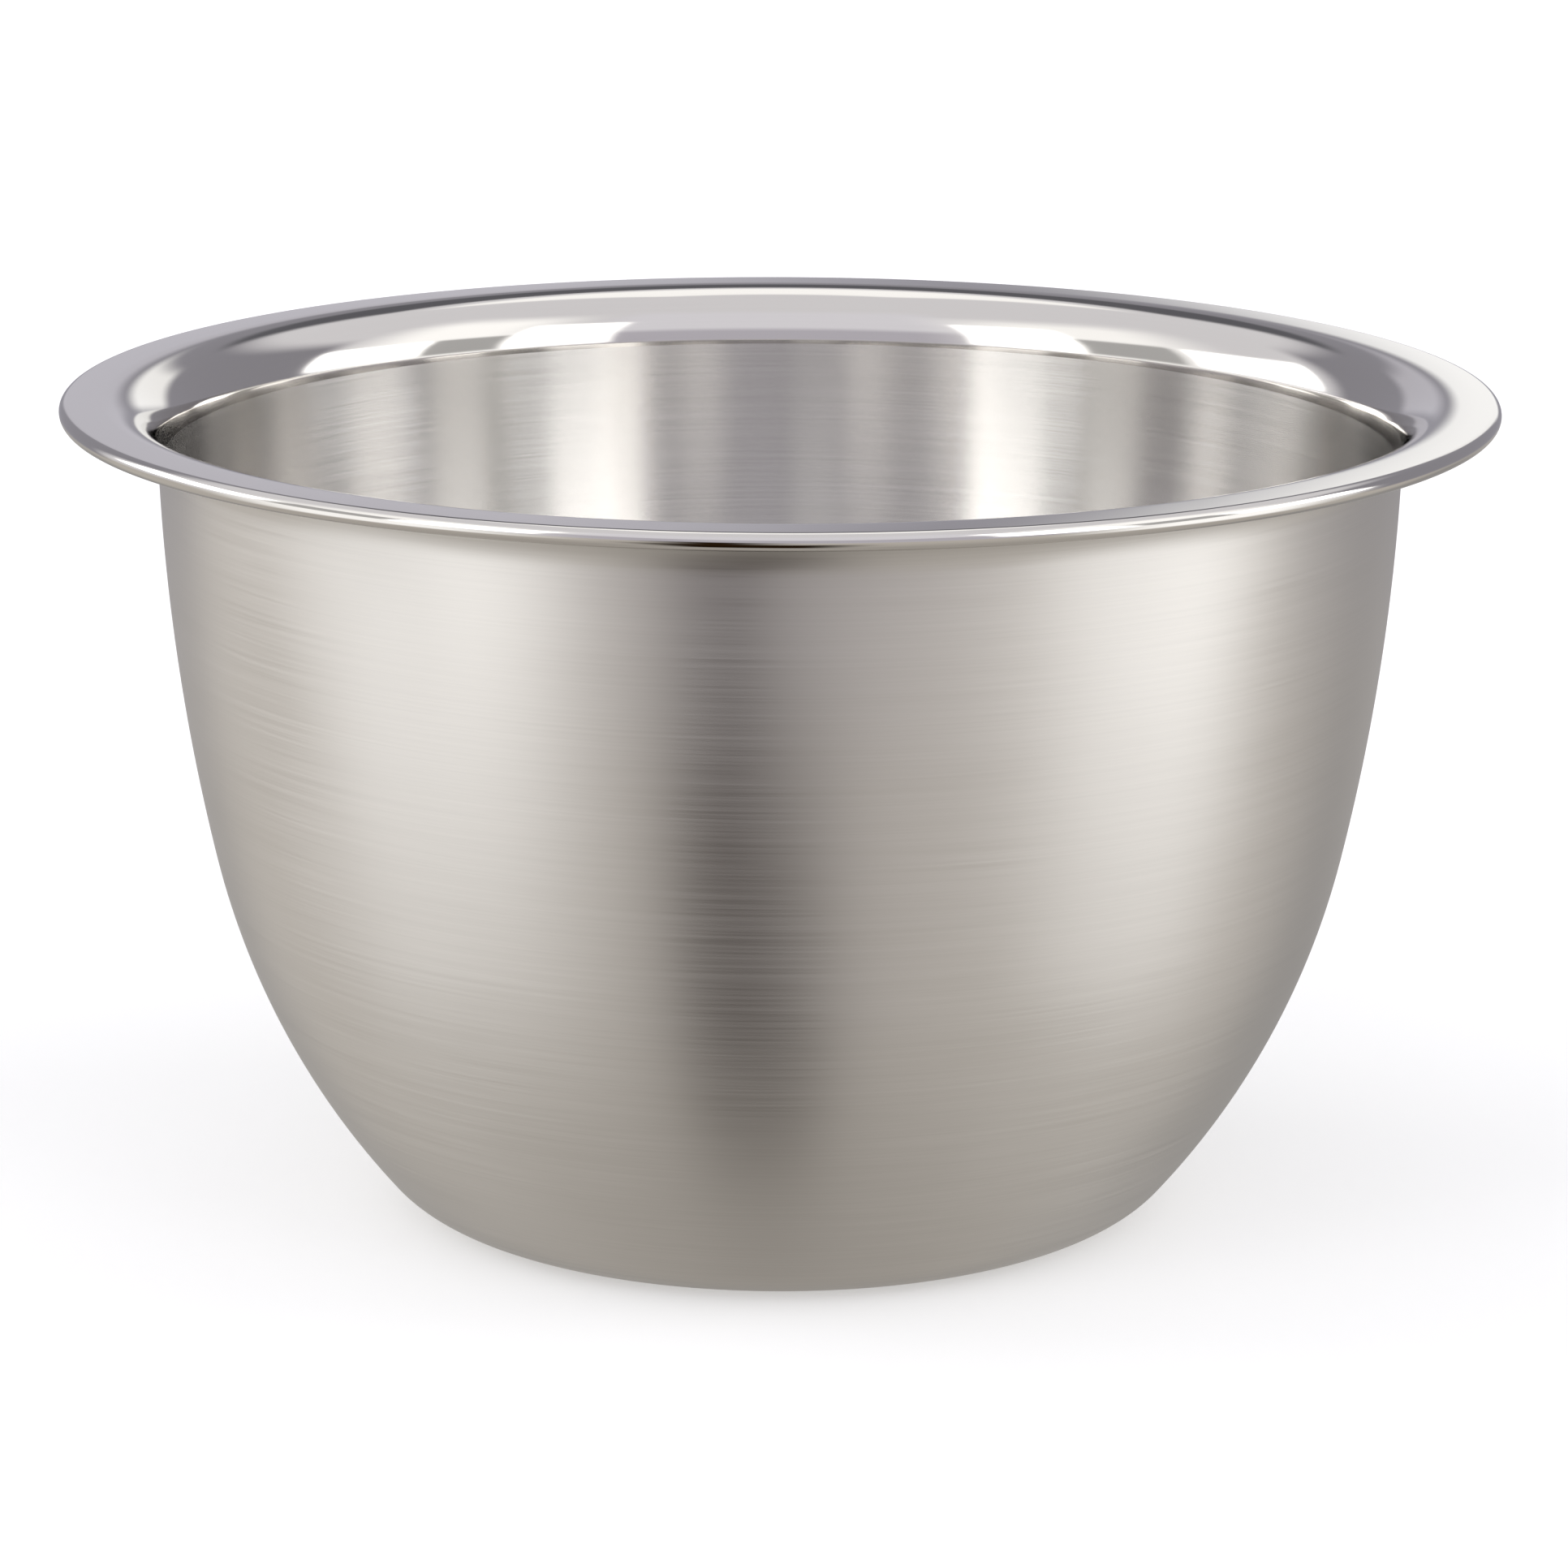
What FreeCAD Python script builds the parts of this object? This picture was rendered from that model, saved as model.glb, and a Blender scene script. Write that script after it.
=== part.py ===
import FreeCAD, Part
import math
import os

import Sketcher

# A mixing bowl drawn in one piece from a disc of stainless steel sheet: a flat base, a rounded
# corner, a wall of two more arcs, a level flange and an outer edge curled under into a bead.
# The sheet has one thickness all over, so the whole bowl is one section turned about Z.
# The bowl stands on the XY plane, centred on the origin, with its mouth towards +Z.

# Driving dimensions. Lengths are in millimetres and angles in degrees.
SIZES = (
    ("sheet_thickness", 0.8, "the steel sheet"),
    ("overall_height", 139.0, "table to the top of the flange"),
    ("mouth_diameter", 206.4, "inside of the wall, carried up to the flange"),
    ("flange_width", 16.8, "mouth to the outside of the bead"),
    ("bead_diameter", 3.0, "outside of the curled edge"),
    ("mouth_radius", 10.2, "top surface, from the flange into the wall"),
    ("base_diameter", 111.0, "flat that the bowl stands on"),
    ("corner_radius", 16.5, "outside, from the base into the wall"),
    ("corner_lean", 40.0, "how far the wall leans from upright where the corner ends"),
    ("waist_lean", 12.5, "how far it leans where its lower arc meets its upper arc"),
)

QUARTER = math.pi / 2
UP = FreeCAD.Vector(0, 0, 1)

# How a sketch numbers the points of a stretch, and its own origin.
START, END, CENTRE = 1, 2, 3
ORIGIN = (-1, 1)


def make_size_sheet(doc):
    """Writes the driving dimensions to a spreadsheet and returns it."""
    sheet = doc.addObject("Spreadsheet::Sheet", "sizes")
    for row, (name, value, meaning) in enumerate(SIZES, start=1):
        sheet.set(f"A{row}", name)
        sheet.set(f"B{row}", str(value))
        sheet.set(f"C{row}", meaning)
        sheet.setAlias(f"B{row}", name)
    doc.recompute()
    return sheet


def wall_radii(spread, rise, corner_radius, corner_lean, waist_lean):
    """The outside radii of the wall's lower and upper arcs.

    From the edge of the flat base to the flange, where it is upright, the wall moves out by
    spread and up by rise. The corner takes its part, and the two arcs share the rest.
    """
    spread_left = spread - corner_radius * math.cos(corner_lean)
    rise_left = rise - corner_radius * (1 - math.sin(corner_lean))
    lower_out = math.cos(waist_lean) - math.cos(corner_lean)
    lower_up = math.sin(corner_lean) - math.sin(waist_lean)
    upper_out = 1 - math.cos(waist_lean)
    upper_up = math.sin(waist_lean)
    share = lower_out * upper_up - lower_up * upper_out
    lower_radius = (spread_left * upper_up - rise_left * upper_out) / share
    upper_radius = (rise_left * lower_out - spread_left * lower_up) / share
    return lower_radius, upper_radius


def line(from_point, to_point):
    return Part.LineSegment(FreeCAD.Vector(*from_point, 0), FreeCAD.Vector(*to_point, 0))


def arc(centre, radius, from_angle, to_angle):
    """An arc that runs anticlockwise from one angle to the other."""
    circle = Part.Circle(FreeCAD.Vector(*centre, 0), UP, radius)
    return Part.ArcOfCircle(circle, from_angle, to_angle)


class Section:
    """The sheet's section, drawn in a sketch with every size tied to the size sheet."""

    def __init__(self, sketch):
        self.sketch = sketch
        self.place = {}
        self.first = {}
        self.last = {}

    def add(self, name, shape, forwards=True, construction=False):
        self.place[name] = self.sketch.addGeometry(shape, construction)
        self.first[name] = START if forwards else END
        self.last[name] = END if forwards else START

    def tie(self, kind, *places):
        """Adds a constraint. A name in places stands for the stretch that has it."""
        numbers = [self.place.get(item, item) for item in places]
        return self.sketch.addConstraint(Sketcher.Constraint(kind, *numbers))

    def size(self, name, expression, kind, *places):
        """Adds a named dimension that follows the size sheet."""
        index = self.tie(kind, *places, 1.0)
        self.sketch.renameConstraint(index, name)
        self.sketch.setExpression(f".Constraints.{name}", expression)

    def draw(self, sizes):
        """Lays the outline: up the outside, round the bead and down the inside."""
        thick = sizes.sheet_thickness
        top = sizes.overall_height
        under = top - thick
        base = sizes.base_diameter / 2
        mouth = sizes.mouth_diameter / 2 + thick
        bead = sizes.bead_diameter / 2
        bend = sizes.mouth_radius
        corner = sizes.corner_radius
        corner_lean = math.radians(sizes.corner_lean)
        waist_lean = math.radians(sizes.waist_lean)
        lower, upper = wall_radii(mouth - base, under, corner, corner_lean, waist_lean)

        corner_at = (base, corner)
        corner_end = (base + corner * math.cos(corner_lean), corner - corner * math.sin(corner_lean))
        lower_at = (
            corner_end[0] - lower * math.cos(corner_lean),
            corner_end[1] + lower * math.sin(corner_lean),
        )
        lower_end = (
            lower_at[0] + lower * math.cos(waist_lean),
            lower_at[1] - lower * math.sin(waist_lean),
        )
        upper_at = (mouth - upper, under)
        centres_apart = upper + bend - thick
        bend_angle = math.asin((bend - thick) / centres_apart)
        bend_at = (upper_at[0] + centres_apart * math.cos(bend_angle), top - bend)
        bead_at = (sizes.mouth_diameter / 2 + sizes.flange_width - bead, top - bead)

        self.add("base_under", line((0, 0), (base, 0)))
        self.add("corner_out", arc(corner_at, corner, -QUARTER, -corner_lean))
        self.add("lower_out", arc(lower_at, lower, -corner_lean, -waist_lean))
        self.add("upper_out", arc(upper_at, upper, -waist_lean, -bend_angle))
        self.add("bend_under", arc(bend_at, bend - thick, QUARTER, math.pi - bend_angle), False)
        self.add("flange_under", line((bend_at[0], under), (bead_at[0], under)))
        self.add("curl_in", arc(bead_at, bead - thick, -math.pi, QUARTER), False)
        curl_inner_end = (bead_at[0] - bead + thick, bead_at[1])
        self.add("curl_end", line(curl_inner_end, (bead_at[0] - bead, bead_at[1])))
        self.add("curl_out", arc(bead_at, bead, -math.pi, QUARTER))
        self.add("flange_top", line((bead_at[0], top), (bend_at[0], top)))
        self.add("bend_top", arc(bend_at, bend, QUARTER, math.pi - bend_angle))
        self.add("upper_in", arc(upper_at, upper - thick, -waist_lean, -bend_angle), False)
        self.add("lower_in", arc(lower_at, lower - thick, -corner_lean, -waist_lean), False)
        self.add("corner_in", arc(corner_at, corner - thick, -QUARTER, -corner_lean), False)
        self.add("base_top", line((base, thick), (0, thick)))
        self.add("axis", line((0, thick), (0, 0)))
        self.join_outline()

        # Construction spokes, from arc centres, carry the leans and the mouth.
        self.add("corner_spoke", line(corner_at, corner_end), construction=True)
        self.add("waist_spoke", line(lower_at, lower_end), construction=True)
        self.add("mouth_spoke", line(upper_at, (mouth, under)), construction=True)

    def join_outline(self):
        """Joins each stretch to the next, smoothly but at the outline's square corners."""
        square = ("curl_in", "curl_end", "base_top", "axis")
        names = list(self.place)
        for here, there in zip(names, names[1:] + names[:1]):
            kind = "Coincident" if here in square else "Tangent"
            self.tie(kind, here, self.last[here], there, self.first[there])

    def constrain(self):
        """Fixes the directions and centres that the sizes don't."""
        for level in ("base_under", "flange_under", "curl_end", "flange_top", "base_top"):
            self.tie("Horizontal", level)
        self.tie("Vertical", "axis")
        self.tie("Coincident", "base_under", START, *ORIGIN)
        # Both faces of the sheet bend about the same centres.
        for outer, inner in (
            ("corner_out", "corner_in"),
            ("lower_out", "lower_in"),
            ("upper_out", "upper_in"),
            ("bend_under", "bend_top"),
            ("curl_out", "curl_in"),
        ):
            self.tie("Coincident", outer, CENTRE, inner, CENTRE)
        self.tie("PointOnObject", "curl_out", CENTRE, "curl_end")
        for spoke, stretch in (("corner_spoke", "corner_out"), ("waist_spoke", "lower_out")):
            self.tie("Coincident", spoke, START, stretch, CENTRE)
            self.tie("Coincident", spoke, END, stretch, END)
        # The upper arc, carried up past the bend, stands upright at the flange's underside.
        self.tie("Coincident", "mouth_spoke", START, "upper_out", CENTRE)
        self.tie("PointOnObject", "mouth_spoke", END, "upper_out")
        self.tie("PointOnObject", "mouth_spoke", START, "flange_under")
        self.tie("Horizontal", "mouth_spoke")

    def bind_sizes(self):
        """Ties each dimension to its cell."""
        mouth = "sizes.mouth_diameter / 2"
        self.size("thickness", "sizes.sheet_thickness", "Distance", "axis")
        self.size("base", "sizes.base_diameter / 2", "Distance", "base_under")
        self.size("corner", "sizes.corner_radius", "Radius", "corner_out")
        self.size("bend", "sizes.mouth_radius", "Radius", "bend_top")
        self.size("bead", "sizes.bead_diameter / 2", "Radius", "curl_out")
        self.size("height", "sizes.overall_height", "DistanceY", *ORIGIN, "flange_top", START)
        wall = f"{mouth} + sizes.sheet_thickness"
        self.size("wall", wall, "DistanceX", *ORIGIN, "mouth_spoke", END)
        rim = f"{mouth} + sizes.flange_width - sizes.bead_diameter / 2"
        self.size("rim", rim, "DistanceX", *ORIGIN, "curl_out", CENTRE)
        self.size("corner_slope", "-sizes.corner_lean * 1 deg", "Angle", "corner_spoke")
        self.size("waist_slope", "-sizes.waist_lean * 1 deg", "Angle", "waist_spoke")


def make_bowl(doc, sizes):
    """The whole bowl: one sheet section turned about the Z axis."""
    body = doc.addObject("PartDesign::Body", "bowl")
    body.Label = "bowl"
    sketch = body.newObject("Sketcher::SketchObject", "sheet_section")
    upright = next(plane for plane in body.Origin.OriginFeatures if plane.Role == "XZ_Plane")
    sketch.AttachmentSupport = [(upright, "")]
    sketch.MapMode = "FlatFace"
    section = Section(sketch)
    section.draw(sizes)
    section.constrain()
    section.bind_sizes()
    doc.recompute()
    turned = body.newObject("PartDesign::Revolution", "turned_sheet")
    turned.Profile = (sketch, [""])
    turned.ReferenceAxis = (sketch, ["V_Axis"])
    turned.Angle = 360
    doc.recompute()
    return body, sketch


def check_model(doc, bodies, sketches):
    """Stops the build if any object failed, any shape is bad or any sketch can still move."""
    for item in doc.Objects:
        if "Invalid" in item.State or "Error" in item.State:
            raise RuntimeError(f"{item.Label} failed: {item.State}")
    for sketch in sketches:
        if sketch.solve() != 0 or sketch.DoF != 0:
            raise RuntimeError(f"{sketch.Label} isn't fully constrained")
    for body in bodies:
        if body.Shape.isNull() or not body.Shape.isValid():
            raise RuntimeError(f"{body.Label} has no valid shape")


def main():
    doc = FreeCAD.newDocument("mixing_bowl")
    sizes = make_size_sheet(doc)
    bowl, section = make_bowl(doc, sizes)
    bowl.Placement = FreeCAD.Placement()
    doc.recompute()
    check_model(doc, [bowl], [section])
    os.makedirs("parts", exist_ok=True)
    bowl.Shape.exportStep(f"parts/{bowl.Label}.step")
    box = bowl.Shape.optimalBoundingBox()
    print(f"{bowl.Label}: {box.XLength:.2f} x {box.YLength:.2f} x {box.ZLength:.2f} mm,")
    print(f"  {bowl.Shape.Volume / 1000:.2f} cm3, {len(bowl.Shape.Solids)} solid")


main()
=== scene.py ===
import math

import bmesh
import bpy
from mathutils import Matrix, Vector


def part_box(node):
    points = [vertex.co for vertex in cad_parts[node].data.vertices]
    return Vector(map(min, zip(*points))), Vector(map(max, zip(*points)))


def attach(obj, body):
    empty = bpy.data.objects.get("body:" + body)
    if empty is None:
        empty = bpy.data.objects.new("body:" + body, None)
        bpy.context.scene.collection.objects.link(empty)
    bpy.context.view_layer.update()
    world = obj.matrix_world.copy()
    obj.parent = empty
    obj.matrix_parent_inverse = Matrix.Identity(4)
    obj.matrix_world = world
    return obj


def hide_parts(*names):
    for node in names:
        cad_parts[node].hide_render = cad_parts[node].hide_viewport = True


# A deep mixing bowl of stainless steel, drawn in one piece: satin outside, polished inside, with
# a mirror-bright flange and curled edge. It stands in a plain white studio. Metres throughout.

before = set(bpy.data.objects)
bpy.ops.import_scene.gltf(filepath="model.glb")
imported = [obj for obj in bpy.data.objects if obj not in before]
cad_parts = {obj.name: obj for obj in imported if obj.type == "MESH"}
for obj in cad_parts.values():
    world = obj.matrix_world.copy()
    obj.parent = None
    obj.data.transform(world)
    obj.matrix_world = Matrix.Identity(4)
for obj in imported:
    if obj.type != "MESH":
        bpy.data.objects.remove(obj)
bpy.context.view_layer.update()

MM = 0.001

low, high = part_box("bowl")
RIM_RADIUS = min(high.x, high.y)
BOWL_TOP = high.z
BOWL_FOOT = low.z

# The pressing's own sizes, as the CAD model has them.
SHEET = 0.8 * MM
FLANGE_WIDTH = 16.8 * MM
BEAD_RADIUS = 1.5 * MM
BEND_RADIUS = 10.2 * MM
BASE_RADIUS = 55.5 * MM
CORNER_RADIUS = 16.5 * MM
CORNER_LEAN = math.radians(40)
WAIST_LEAN = math.radians(12.5)
MOUTH_RADIUS = RIM_RADIUS - FLANGE_WIDTH

# Where a Mix node set to colours keeps its two colours and its result.
FIRST_COLOUR, SECOND_COLOUR, MIXED = 6, 7, 2


def linear(hex_colour):
    """A colour written as sRGB hex, as the linear colour that a shader works in."""
    channels = [int(hex_colour[i:i + 2], 16) / 255 for i in (1, 3, 5)]
    bright = [((c + 0.055) / 1.055) ** 2.4 if c > 0.04045 else c / 12.92 for c in channels]
    return (*bright, 1.0)


def brighter(colour, strength):
    """A linear colour with its brightness multiplied."""
    return (*(channel * strength for channel in colour[:3]), 1.0)


def add_node(tree, kind, settings=None, inputs=None):
    """Adds a node, sets its settings and gives its inputs values or other nodes' outputs."""
    node = tree.nodes.new(kind)
    for name, value in (settings or {}).items():
        setattr(node, name, value)
    for socket, value in (inputs or {}).items():
        if isinstance(value, bpy.types.NodeSocket):
            tree.links.new(value, node.inputs[socket])
        else:
            node.inputs[socket].default_value = value
    return node


def new_tree(owner):
    """A material's or world's node tree, emptied."""
    owner.use_nodes = True
    owner.node_tree.nodes.clear()
    return owner.node_tree


# ---------------------------------------------------------------------------- the pressing

# The three finishes, in the order of the mesh's material slots.
OUTSIDE, BUFFED, INSIDE = range(3)

# How finely the sheet is turned, and each arc of its section is drawn.
SEGMENTS_ROUND = 480
CORNER_STEPS = 20
WALL_STEPS = 30
BEND_STEPS_UNDER = 32
BEND_STEPS_ABOVE = 40
CURL_STEPS_WITHIN = 36
CURL_STEPS_AROUND = 48


def wall_radii():
    """The outside radii of the wall's lower and upper arcs, between the corner and the flange."""
    spread = MOUTH_RADIUS + SHEET - BASE_RADIUS - CORNER_RADIUS * math.cos(CORNER_LEAN)
    rise = BOWL_TOP - SHEET - CORNER_RADIUS * (1 - math.sin(CORNER_LEAN))
    lower_out = math.cos(WAIST_LEAN) - math.cos(CORNER_LEAN)
    lower_up = math.sin(CORNER_LEAN) - math.sin(WAIST_LEAN)
    upper_out = 1 - math.cos(WAIST_LEAN)
    upper_up = math.sin(WAIST_LEAN)
    share = lower_out * upper_up - lower_up * upper_out
    return ((spread * upper_up - rise * upper_out) / share,
            (rise * lower_out - spread * lower_up) / share)


def bend(centre, radius, start, end, steps):
    """Points along an arc of the section, as (radius from the axis, height)."""
    turns = [start + (end - start) * step / steps for step in range(steps + 1)]
    return [(centre[0] + radius * math.cos(turn), centre[1] + radius * math.sin(turn))
            for turn in turns]


def sheet_section():
    """The sheet's outline from under the base, up the outside, round the curl, down the inside.

    Each stretch comes with its finish.
    """
    lower, upper = wall_radii()
    corner_at = (BASE_RADIUS, BOWL_FOOT + CORNER_RADIUS)
    lower_at = (corner_at[0] + (CORNER_RADIUS - lower) * math.cos(CORNER_LEAN),
                corner_at[1] + (lower - CORNER_RADIUS) * math.sin(CORNER_LEAN))
    under_flange = BOWL_TOP - SHEET
    upper_at = (MOUTH_RADIUS + SHEET - upper, under_flange)
    to_bend = upper + BEND_RADIUS - SHEET
    bend_lean = math.asin((BEND_RADIUS - SHEET) / to_bend)
    bend_at = (upper_at[0] + to_bend * math.cos(bend_lean), BOWL_TOP - BEND_RADIUS)
    bead_at = (RIM_RADIUS - BEAD_RADIUS, BOWL_TOP - BEAD_RADIUS)
    quarter = math.pi / 2
    up_bend = math.pi - bend_lean

    outside = [(0, BOWL_FOOT)]
    outside += bend(corner_at, CORNER_RADIUS, -quarter, -CORNER_LEAN, CORNER_STEPS)
    outside += bend(lower_at, lower, -CORNER_LEAN, -WAIST_LEAN, WALL_STEPS)[1:]
    outside += bend(upper_at, upper, -WAIST_LEAN, -bend_lean, WALL_STEPS)[1:]
    outside += bend(bend_at, BEND_RADIUS - SHEET, up_bend, quarter, BEND_STEPS_UNDER)[1:]

    edge = outside[-1:]
    edge += bend(bead_at, BEAD_RADIUS - SHEET, quarter, -math.pi, CURL_STEPS_WITHIN)
    edge += bend(bead_at, BEAD_RADIUS, -math.pi, quarter, CURL_STEPS_AROUND)
    edge += bend(bend_at, BEND_RADIUS, quarter, up_bend, BEND_STEPS_ABOVE)

    inside = edge[-1:]
    inside += bend(upper_at, upper - SHEET, -bend_lean, -WAIST_LEAN, WALL_STEPS)[1:]
    inside += bend(lower_at, lower - SHEET, -WAIST_LEAN, -CORNER_LEAN, WALL_STEPS)[1:]
    inside += bend(corner_at, CORNER_RADIUS - SHEET, -CORNER_LEAN, -quarter, CORNER_STEPS)[1:]
    inside.append((0, BOWL_FOOT + SHEET))
    return ((OUTSIDE, outside), (BUFFED, edge), (INSIDE, inside))


def turn_sheet(finishes):
    """Turns the section about the bowl's axis into one closed skin."""
    mesh = bmesh.new()
    turns = [2 * math.pi * step / SEGMENTS_ROUND for step in range(SEGMENTS_ROUND)]

    def ring(point):
        radius, height = point
        if radius == 0:
            return [mesh.verts.new((0, 0, height))]
        return [mesh.verts.new((radius * math.cos(turn), radius * math.sin(turn), height))
                for turn in turns]

    last = None
    for finish, stretch in sheet_section():
        if last is None:
            last = ring(stretch[0])
        for point in stretch[1:]:
            here = ring(point)
            for step in range(SEGMENTS_ROUND):
                after = (step + 1) % SEGMENTS_ROUND
                corners = [last[step % len(last)], last[after % len(last)],
                           here[after % len(here)], here[step % len(here)]]
                # On the axis two corners are one point, which leaves a triangle.
                face = mesh.faces.new(list(dict.fromkeys(corners)))
                face.smooth = True
                face.material_index = finish
            last = here
    skin = bpy.data.meshes.new("bowl_sheet")
    mesh.to_mesh(skin)
    mesh.free()
    # Only the curl's cut end has square corners, and those alone are to look sharp.
    sharp_corner = math.radians(50)
    skin.set_sharp_from_angle(angle=sharp_corner)
    for finish in finishes:
        skin.materials.append(finish)
    bowl = bpy.data.objects.new("bowl_sheet", skin)
    bpy.context.scene.collection.objects.link(bowl)
    return bowl


# ---------------------------------------------------------------------------------- the steel

# Nearly all of a noise texture's values lie between these two.
NOISE_LOW, NOISE_HIGH = 0.3, 0.7


def steel_finish(name, colour, roughness, blur_along_slope, line_depth, line_shade):
    """18/8 stainless steel sheet, deep drawn and then finished while it spins on a lathe.

    The finishing leaves fine lines round the bowl. They pull each reflection up and down, by
    more where blur_along_slope is higher, while its upright edges stay crisp. line_depth and
    line_shade say how far the lines tilt the surface and how much they lighten and darken it.
    """
    steel = bpy.data.materials.new(name)
    tree = new_tree(steel)

    place = add_node(tree, "ShaderNodeTexCoord")
    level = add_node(tree, "ShaderNodeVectorMath", {"operation": "MULTIPLY"},
                     {0: place.outputs["Object"], 1: (1, 1, 0)})
    radius = add_node(tree, "ShaderNodeVectorMath", {"operation": "LENGTH"},
                      {0: level.outputs["Vector"]})
    radial = add_node(tree, "ShaderNodeVectorMath", {"operation": "NORMALIZE"},
                      {0: level.outputs["Vector"]})
    height = add_node(tree, "ShaderNodeSeparateXYZ", {}, {0: place.outputs["Object"]})

    # Real lines are about 0.1 mm apart, too fine to show, so these are 0.4 mm apart. Each runs
    # for about a sixth of the way round before it fades.
    line_spacing = 0.4 * MM
    fades_round = 2.2
    way_round = add_node(tree, "ShaderNodeVectorMath", {"operation": "SCALE"},
                         {0: radial.outputs["Vector"], "Scale": fades_round})
    turn = add_node(tree, "ShaderNodeSeparateXYZ", {}, {0: way_round.outputs["Vector"]})
    across_radius = add_node(tree, "ShaderNodeMath", {"operation": "DIVIDE"},
                             {0: radius.outputs["Value"], 1: line_spacing})
    across_height = add_node(tree, "ShaderNodeMath", {"operation": "DIVIDE"},
                             {0: height.outputs["Z"], 1: line_spacing})
    line_place = add_node(tree, "ShaderNodeCombineXYZ", {},
                          {"X": across_radius.outputs["Value"],
                           "Y": across_height.outputs["Value"],
                           "Z": turn.outputs["X"]})
    lines = add_node(tree, "ShaderNodeTexNoise", {"noise_dimensions": "4D"},
                     {"Vector": line_place.outputs["Vector"], "W": turn.outputs["Y"],
                      "Scale": 1.0, "Detail": 2.0, "Roughness": 0.6})

    # Handling and buffing leave soft cloudy patches some 40 mm across.
    patch_size = 40 * MM
    clouds = add_node(tree, "ShaderNodeTexNoise", {},
                      {"Vector": place.outputs["Object"], "Scale": 1 / patch_size, "Detail": 2.0})

    # The lines change the gloss by 8% either way, and the patches by 7%.
    by_line, by_patch = 0.08, 0.07
    line_wear = add_node(tree, "ShaderNodeMapRange", {},
                         {"Value": lines.outputs["Fac"],
                          "From Min": NOISE_LOW, "From Max": NOISE_HIGH,
                          "To Min": (1 - by_line) * roughness,
                          "To Max": (1 + by_line) * roughness})
    cloud_wear = add_node(tree, "ShaderNodeMapRange", {},
                          {"Value": clouds.outputs["Fac"],
                           "From Min": NOISE_LOW, "From Max": NOISE_HIGH,
                           "To Min": 1 - by_patch, "To Max": 1 + by_patch})
    wear = add_node(tree, "ShaderNodeMath", {"operation": "MULTIPLY"},
                    {0: line_wear.outputs["Result"], 1: cloud_wear.outputs["Result"]})

    # Each line also catches a little more or less light than its neighbour.
    bright_steel = linear(colour)
    shade = add_node(tree, "ShaderNodeMapRange", {},
                     {"Value": lines.outputs["Fac"],
                      "From Min": NOISE_LOW, "From Max": NOISE_HIGH})
    lined = add_node(tree, "ShaderNodeMix", {"data_type": "RGBA"},
                     {"Factor": shade.outputs["Result"],
                      FIRST_COLOUR: brighter(bright_steel, 1 - line_shade),
                      SECOND_COLOUR: brighter(bright_steel, 1 + line_shade)})
    groove_depth = 0.05 * MM
    grooves = add_node(tree, "ShaderNodeBump", {},
                       {"Strength": line_depth, "Distance": groove_depth,
                        "Height": lines.outputs["Fac"]})

    # The blur runs up and down the slope, a quarter turn from the lines.
    quarter_turn = 0.25
    round_bowl = add_node(tree, "ShaderNodeTangent", {"direction_type": "RADIAL", "axis": "Z"})
    surface = add_node(tree, "ShaderNodeBsdfPrincipled", {},
                       {"Base Color": lined.outputs[MIXED], "Metallic": 1.0,
                        "Roughness": wear.outputs["Value"],
                        "Anisotropic": blur_along_slope, "Anisotropic Rotation": quarter_turn,
                        "Tangent": round_bowl.outputs["Tangent"],
                        "Normal": grooves.outputs["Normal"]})
    add_node(tree, "ShaderNodeOutputMaterial", {}, {"Surface": surface.outputs["BSDF"]})
    return steel


# Satin outside gives soft upright bands. Polish inside sharpens their edges. The inside's steel
# is also painted a lighter colour than the same steel outside and on the edge, as painted light
# that brightens the inside. The flange, the bend down from it and the curled edge are buffed
# until they mirror the room.
satin = steel_finish("stainless_satin_outside", "#cfccc8", roughness=0.36,
                     blur_along_slope=0.65, line_depth=0.08, line_shade=0.03)
buffed = steel_finish("stainless_buffed_edge", "#cfccc8", roughness=0.07,
                      blur_along_slope=0.3, line_depth=0.01, line_shade=0.005)
# The inside's lighter colour is painted light: it makes the inside look brighter than the steel
# is.
polished_painted_lighter = steel_finish("stainless_polished_inside_painted_lighter", "#dbd9d6", roughness=0.2,
                        blur_along_slope=0.97, line_depth=0.02, line_shade=0.01)
bowl_sheet = turn_sheet((satin, buffed, polished_painted_lighter))
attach(bowl_sheet, "root")
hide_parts("bowl")

# ------------------------------------------------------------------------------- the studio

BACKDROP = linear("#ffffff")


def lay_floor():
    """A plain pale floor, so wide that its far edge meets the backdrop at the horizon."""
    half_width = 30.0
    gap_under_bowl = 0.05 * MM
    level = BOWL_FOOT - gap_under_bowl
    corners = [(-half_width, -half_width, level), (half_width, -half_width, level),
               (half_width, half_width, level), (-half_width, half_width, level)]
    mesh = bpy.data.meshes.new("floor")
    mesh.from_pydata(corners, [], [(0, 1, 2, 3)])
    floor = bpy.data.objects.new("floor", mesh)
    bpy.context.scene.collection.objects.link(floor)
    paper = bpy.data.materials.new("white_paper_matt")
    tree = new_tree(paper)
    # Matt paper lit partly from behind, which keeps the bowl's shadow faint.
    glow_strength = 0.35
    sheet = add_node(tree, "ShaderNodeBsdfDiffuse", {}, {"Color": linear("#d8d8d8")})
    glow = add_node(tree, "ShaderNodeEmission", {},
                    {"Color": linear("#ffffff"), "Strength": glow_strength})
    both = add_node(tree, "ShaderNodeAddShader", {},
                    {0: sheet.outputs["BSDF"], 1: glow.outputs["Emission"]})
    add_node(tree, "ShaderNodeOutputMaterial", {}, {"Surface": both.outputs["Shader"]})
    mesh.materials.append(paper)
    # The steel mirrors the studio all round, as if it stood on glass.
    floor.visible_glossy = False
    floor.visible_shadow = False


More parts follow.
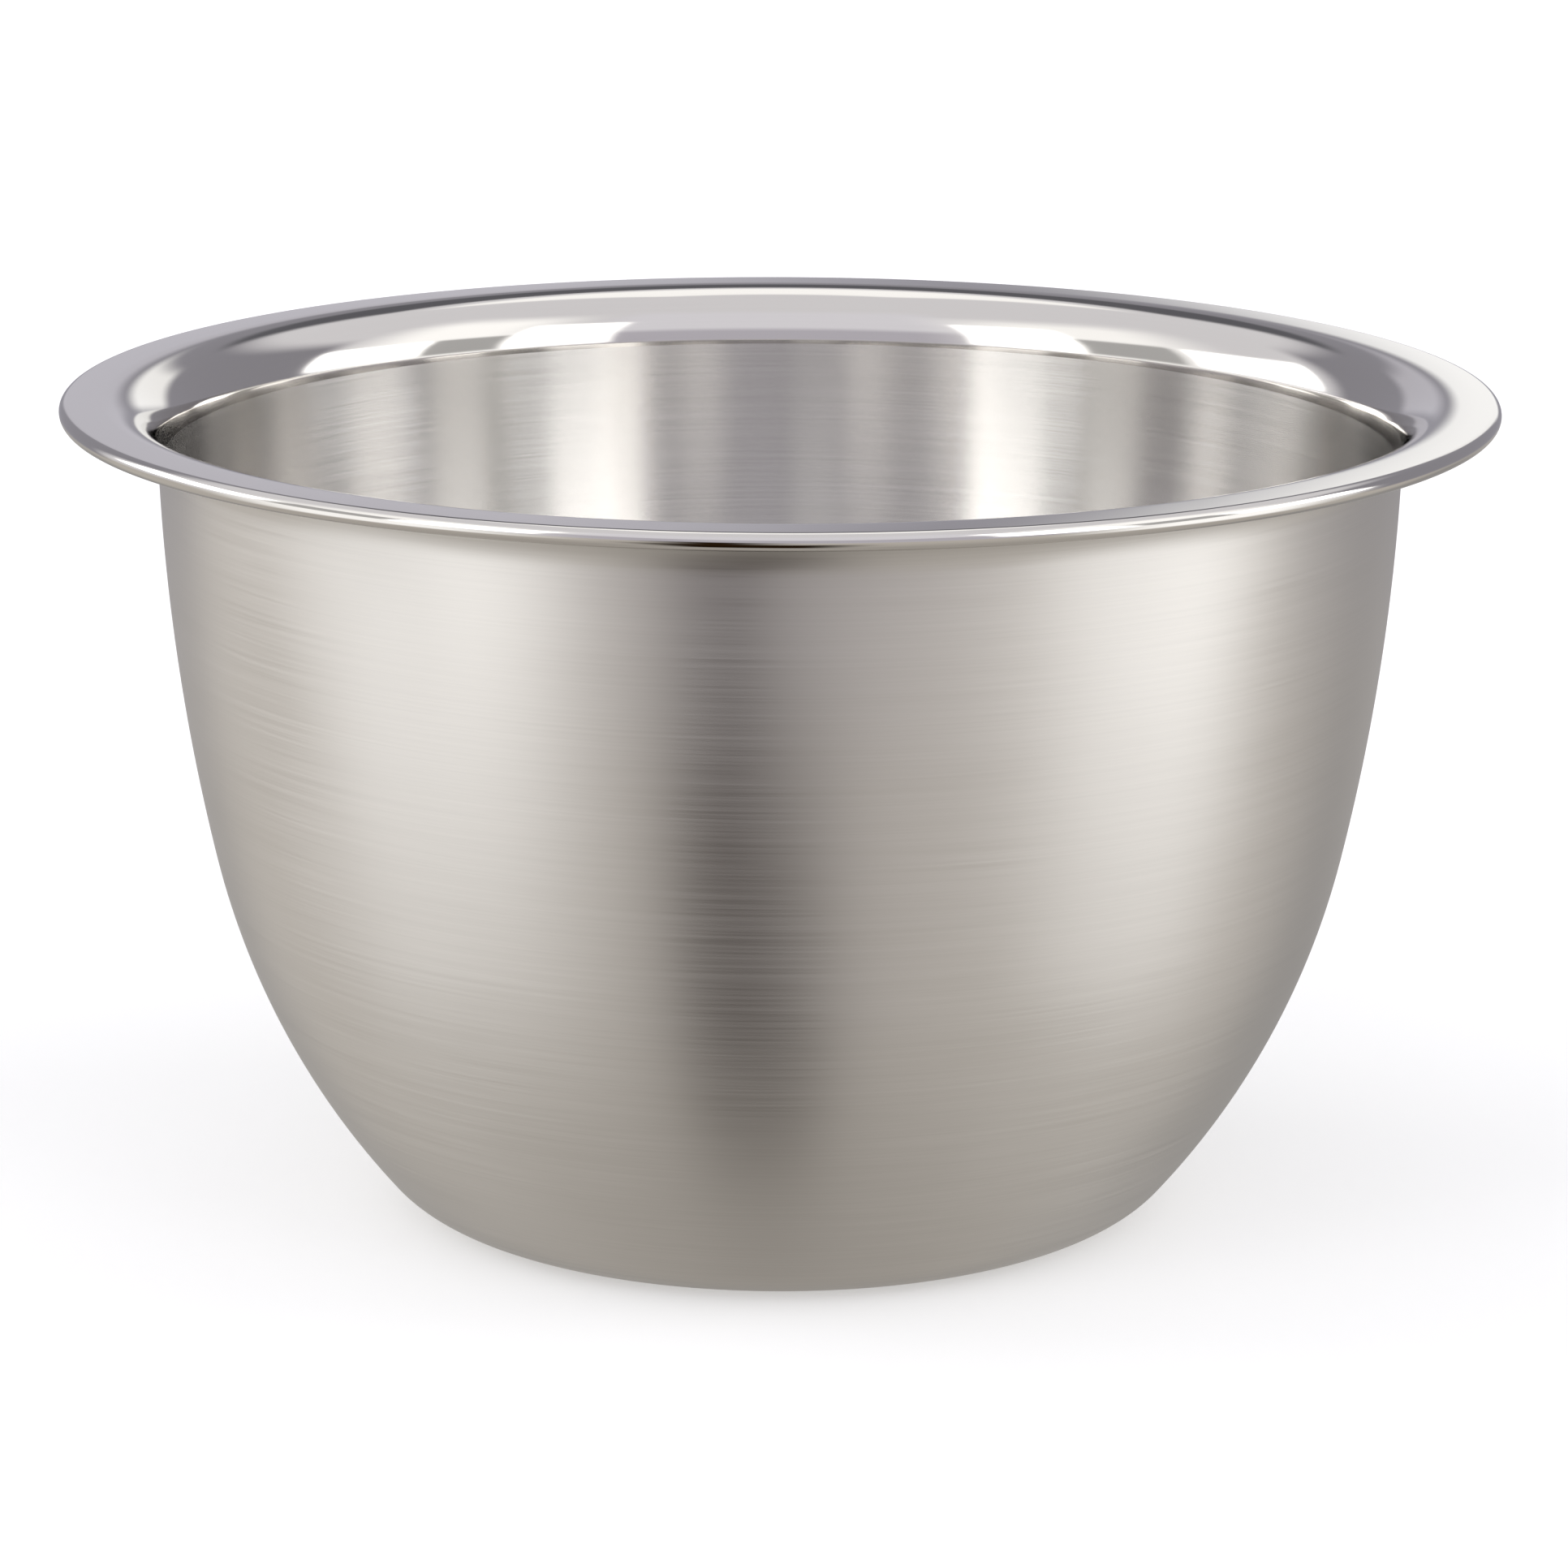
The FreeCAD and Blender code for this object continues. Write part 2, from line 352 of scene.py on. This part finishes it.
# Lights and walls of the studio: name, bearing (0 is the camera's side, 90 its right), half
# width, lowest and highest elevation, softness of the sides and of the top and bottom edges (all
# in degrees), colour and brightness. Each covers what comes before it in the list. The walls and
# the camera's dark side give the outside its broad bands, the softboxes and the gaps between
# them the inside's stripes, and the panels at the back the shine on the flange.
STUDIO = (
    ("front_wall", 0, 46, -8, 30, 14, 14, "#e9e6f2", 0.8),
    ("front_top", 0, 40, 24, 60, 14, 10, "#efeef6", 1.15),
    ("left_wall", -68, 25, -30, 50, 34, 14, "#ffffff", 1.5),
    ("right_wall", 73, 20, -30, 54, 26, 14, "#ffffff", 1.6),
    ("back_wall", 166, 62, -12, 36, 10, 10, "#e4e2ee", 0.45),
    ("back_floor", 172, 45, -55, -14, 30, 16, "#f2efec", 0.42),
    ("left_gap", -73, 13, 5, 28, 4, 4, "#ffffff", 0.6),
    ("right_gap", 66, 9, 5, 28, 4, 4, "#ffffff", 0.6),
    ("left_front_box", -50, 12, 4, 40, 4, 5, "#ffffff", 3.2),
    ("right_front_box", 45, 11, 4, 42, 4, 5, "#ffffff", 2.8),
    ("left_side_box", -108, 18, 6, 27, 5, 5, "#ffffff", 4.2),
    ("right_side_box", 90, 14, 6, 27, 5, 5, "#ffffff", 4.2),
    ("back_left", -172, 8, 4, 22, 6, 6, "#e8e6f0", 0.78),
    ("back_right", 167.5, 8, 4, 22, 6, 6, "#ffffff", 1.2),
    ("back_gap", 180, 20, 32, 48, 8, 4, "#d8d8e4", 0.22),
    ("back_panel", 180, 25, 53, 73, 6, 4, "#ffffff", 1.5),
    ("camera_floor", -6, 18, -66, -28, 16, 12, "#d89a5c", 0.03),
    ("camera_side", -10, 8, -36, -3, 14, 10, "#d89a5c", 0.04),
)
SKY = brighter(linear("#f4f3f8"), 1.05)
GROUND_NEAR = brighter(linear("#f4eee6"), 0.73)
GROUND_BELOW = brighter(linear("#f4eee6"), 0.53)

# The elevations between which one of these fades into the next.
GROUND_FADE = (math.radians(-70), math.radians(-25))
HORIZON_FADE = (math.radians(-12), math.radians(2))


def light_studio():
    """Soft light from all round. What the camera sees directly is the plain backdrop."""
    world = bpy.data.worlds.new("studio")
    bpy.context.scene.world = world
    tree = new_tree(world)
    place = add_node(tree, "ShaderNodeTexCoord")
    direction = add_node(tree, "ShaderNodeVectorMath", {"operation": "NORMALIZE"},
                         {0: place.outputs["Generated"]})
    rise = add_node(tree, "ShaderNodeSeparateXYZ", {}, {0: direction.outputs["Vector"]})
    elevation = add_node(tree, "ShaderNodeMath", {"operation": "ARCSINE"}, {0: rise.outputs["Z"]})
    level = add_node(tree, "ShaderNodeVectorMath", {"operation": "MULTIPLY"},
                     {0: direction.outputs["Vector"], 1: (1, 1, 0)})
    bearing = add_node(tree, "ShaderNodeVectorMath", {"operation": "NORMALIZE"},
                       {0: level.outputs["Vector"]})

    ground_depth = add_node(tree, "ShaderNodeMapRange", {},
                            {"Value": elevation.outputs["Value"],
                             "From Min": GROUND_FADE[0], "From Max": GROUND_FADE[1]})
    ground = add_node(tree, "ShaderNodeMix", {"data_type": "RGBA"},
                      {"Factor": ground_depth.outputs["Result"],
                       FIRST_COLOUR: GROUND_BELOW, SECOND_COLOUR: GROUND_NEAR})
    horizon = add_node(tree, "ShaderNodeMapRange", {"interpolation_type": "SMOOTHSTEP"},
                       {"Value": elevation.outputs["Value"],
                        "From Min": HORIZON_FADE[0], "From Max": HORIZON_FADE[1]})
    light = add_node(tree, "ShaderNodeMix", {"data_type": "RGBA"},
                     {"Factor": horizon.outputs["Result"],
                      FIRST_COLOUR: ground.outputs[MIXED], SECOND_COLOUR: SKY})

    for name, *angles, colour, strength in STUDIO:
        middle, half_width, lowest, highest, side_fade, end_fade = map(math.radians, angles)
        along = Vector((math.sin(middle), -math.cos(middle), 0))
        closeness = add_node(tree, "ShaderNodeVectorMath", {"operation": "DOT_PRODUCT"},
                             {0: bearing.outputs["Vector"], 1: along})
        aside = add_node(tree, "ShaderNodeMath", {"operation": "ARCCOSINE"},
                         {0: closeness.outputs["Value"]})
        across = add_node(tree, "ShaderNodeMapRange", {"interpolation_type": "SMOOTHSTEP"},
                          {"Value": aside.outputs["Value"],
                           "From Min": half_width + side_fade / 2,
                           "From Max": half_width - side_fade / 2})
        above = add_node(tree, "ShaderNodeMapRange", {"interpolation_type": "SMOOTHSTEP"},
                         {"Value": elevation.outputs["Value"],
                          "From Min": lowest - end_fade / 2, "From Max": lowest + end_fade / 2})
        below = add_node(tree, "ShaderNodeMapRange", {"interpolation_type": "SMOOTHSTEP"},
                         {"Value": elevation.outputs["Value"],
                          "From Min": highest + end_fade / 2, "From Max": highest - end_fade / 2})
        band = add_node(tree, "ShaderNodeMath", {"operation": "MULTIPLY"},
                        {0: above.outputs["Result"], 1: below.outputs["Result"]})
        patch = add_node(tree, "ShaderNodeMath", {"operation": "MULTIPLY", "label": name},
                         {0: band.outputs["Value"], 1: across.outputs["Result"]})
        light = add_node(tree, "ShaderNodeMix", {"data_type": "RGBA"},
                         {"Factor": patch.outputs["Value"],
                          FIRST_COLOUR: light.outputs[MIXED],
                          SECOND_COLOUR: brighter(linear(colour), strength)})

    seen = add_node(tree, "ShaderNodeLightPath")
    shown = add_node(tree, "ShaderNodeMix", {"data_type": "RGBA"},
                     {"Factor": seen.outputs["Is Camera Ray"],
                      FIRST_COLOUR: light.outputs[MIXED], SECOND_COLOUR: BACKDROP})
    background = add_node(tree, "ShaderNodeBackground", {}, {"Color": shown.outputs[MIXED]})
    add_node(tree, "ShaderNodeOutputWorld", {}, {"Surface": background.outputs["Background"]})


def place_camera():
    """A long lens, a little above the bowl and looking slightly down into it."""
    camera_data = bpy.data.cameras.new("camera")
    camera_data.sensor_width = 36.0
    camera_data.lens = 132.8
    camera = bpy.data.objects.new("camera", camera_data)
    bpy.context.scene.collection.objects.link(camera)
    distance = 0.985
    look_down = math.radians(14.1)
    roll = math.radians(-0.2)
    share_of_height = 0.51
    aim = Vector((0, 0, share_of_height * (BOWL_TOP - BOWL_FOOT)))
    camera.location = aim + distance * Vector((0, -math.cos(look_down), math.sin(look_down)))
    camera.rotation_euler = (math.pi / 2 - look_down, roll, 0)
    bpy.context.scene.camera = camera


lay_floor()
light_studio()
place_camera()
bpy.context.scene.view_settings.view_transform = "Standard"
